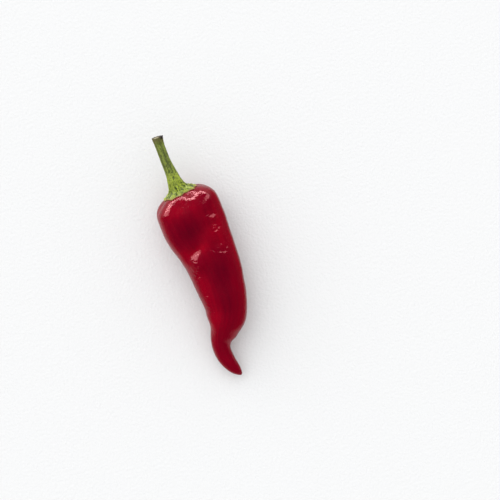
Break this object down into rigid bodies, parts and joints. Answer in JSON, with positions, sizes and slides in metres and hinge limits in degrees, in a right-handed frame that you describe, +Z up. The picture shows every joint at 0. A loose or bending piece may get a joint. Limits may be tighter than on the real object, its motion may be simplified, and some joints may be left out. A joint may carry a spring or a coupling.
{
  "type": "aleppo pepper",
  "caption": "Fresh red tapering pepper lying on its side, with a toothed green calyx, a ribbed stalk and a narrow bent tip.",
  "frame": {"origin": "the middle of the small flat spot on the underside that the pepper rests on", "axes": "+Z up from the surface it lies on, +Y towards the cut end of the stem, +X to the right as seen from above with the stem pointing away"},
  "size_m": [0.0334, 0.1268, 0.0301],
  "materials": {
    "red_skin": "gloss",
    "calyx_green": "satin",
    "stem_green": "satin"
  },
  "bodies": {
    "root": {"fruit": "red_skin", "calyx": "calyx_green", "stem": "stem_green"}
  },
  "joints": []
}
